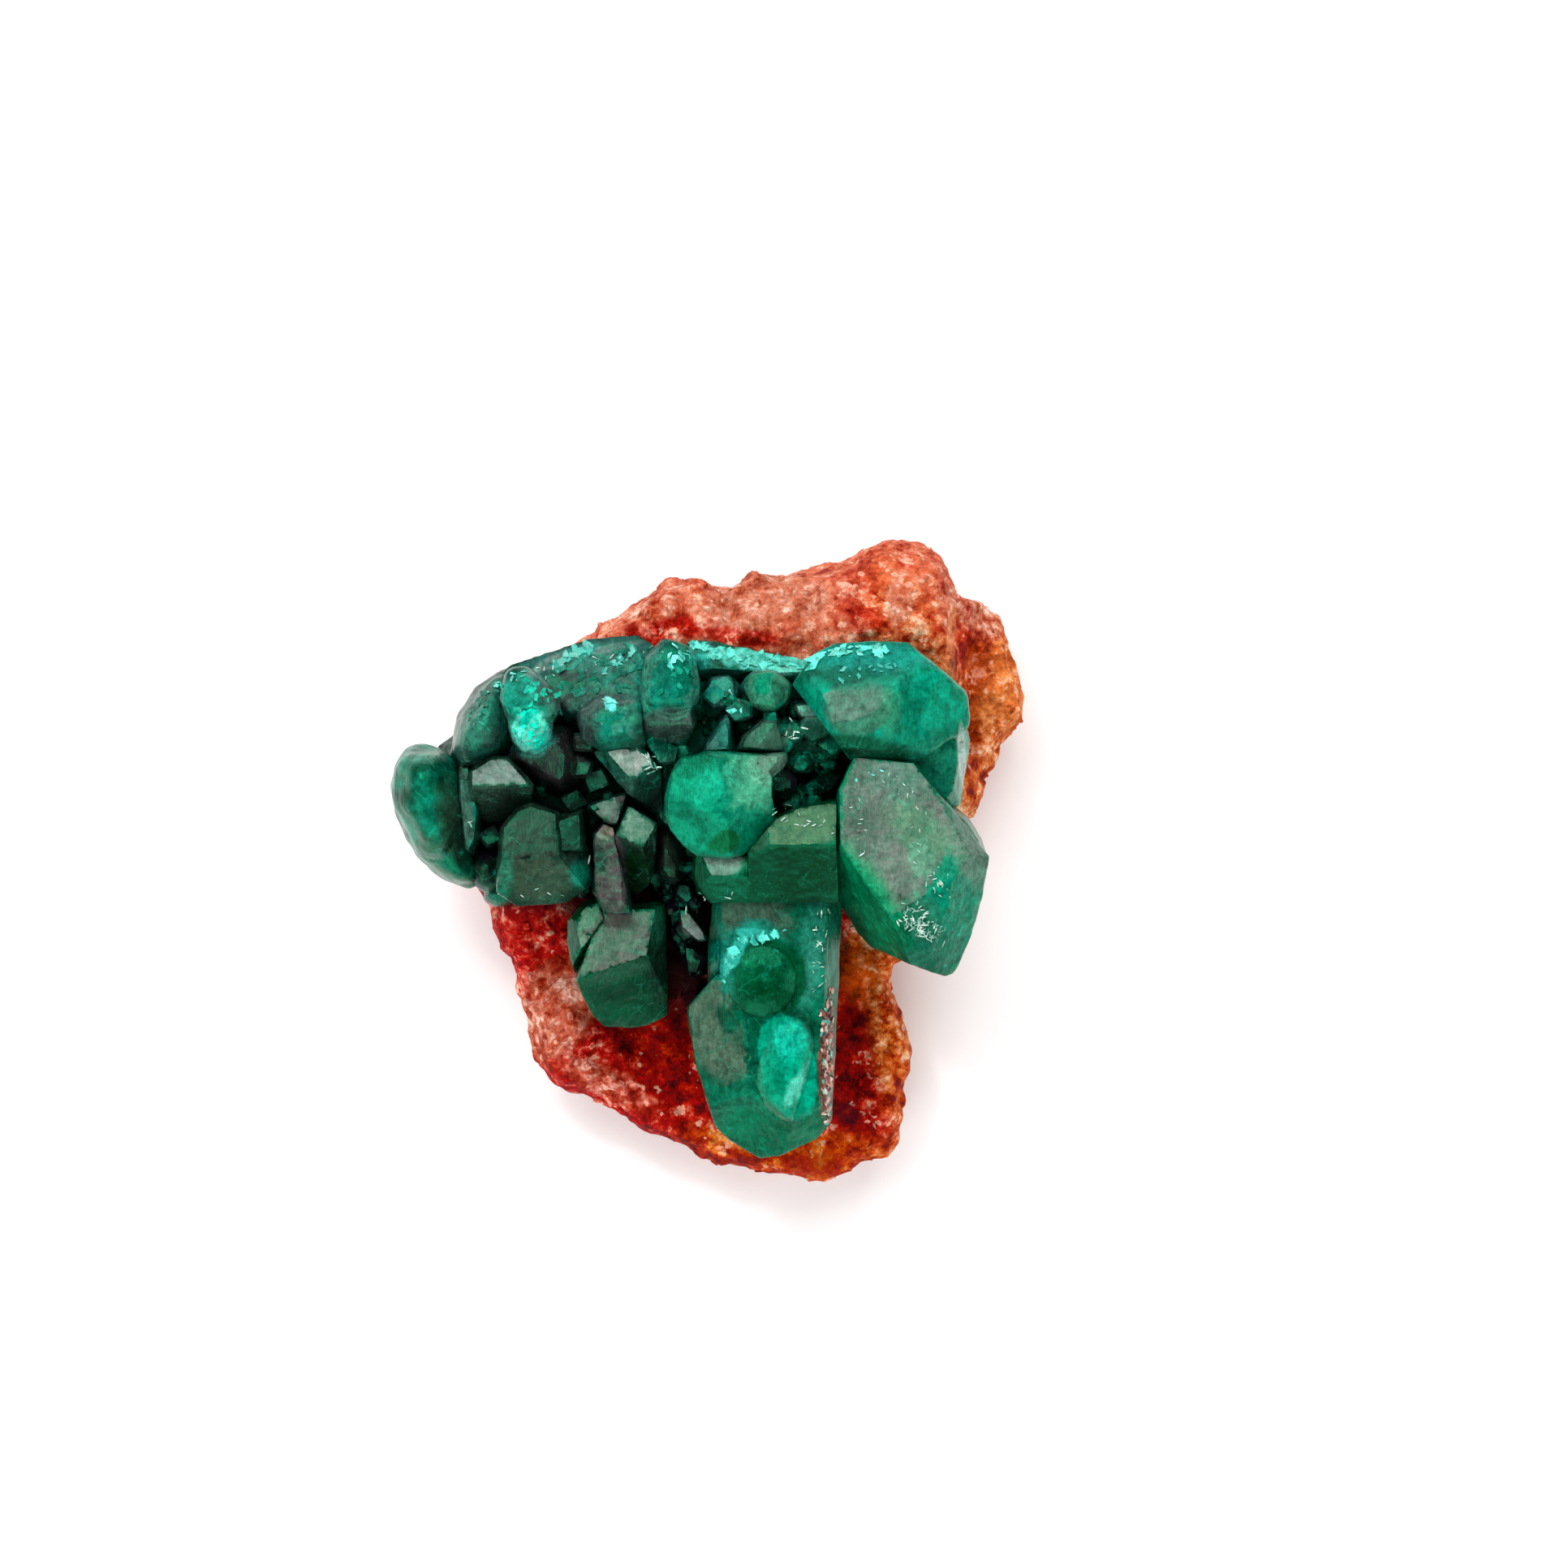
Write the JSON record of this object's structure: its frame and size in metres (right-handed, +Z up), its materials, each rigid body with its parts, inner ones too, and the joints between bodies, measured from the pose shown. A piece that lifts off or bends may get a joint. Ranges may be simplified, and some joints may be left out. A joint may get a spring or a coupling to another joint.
{
  "type": "dioptase on matrix",
  "caption": "Mineral specimen: intergrown green dioptase crystals in a band across a lump of coarse-grained red rock with a flat back.",
  "frame": {"origin": "on the table, under the middle of the specimen's bounding box", "axes": "+Z up out of the flat back, towards the crystals; +X along the crystal band towards the large crystal; +Y across the band, away from the long prism's tip"},
  "size_m": [0.0522, 0.0532, 0.0272],
  "materials": {
    "rock": "matte",
    "dioptase_band": "gloss",
    "dioptase_bright": "gloss",
    "dioptase_grey": "gloss",
    "dioptase_deep": "gloss"
  },
  "bodies": {
    "root": {"matrix_rock": "rock", "band_crystals": "dioptase_band", "centre_bright_crystal": "dioptase_bright", "upper_right_crystal": "dioptase_bright", "left_end_crystal": "dioptase_bright", "right_large_crystal": "dioptase_grey", "left_block_crystals": "dioptase_grey", "lower_left_crystals": "dioptase_grey", "long_prism": "dioptase_deep", "middle_block_crystal": "dioptase_deep"}
  },
  "joints": []
}
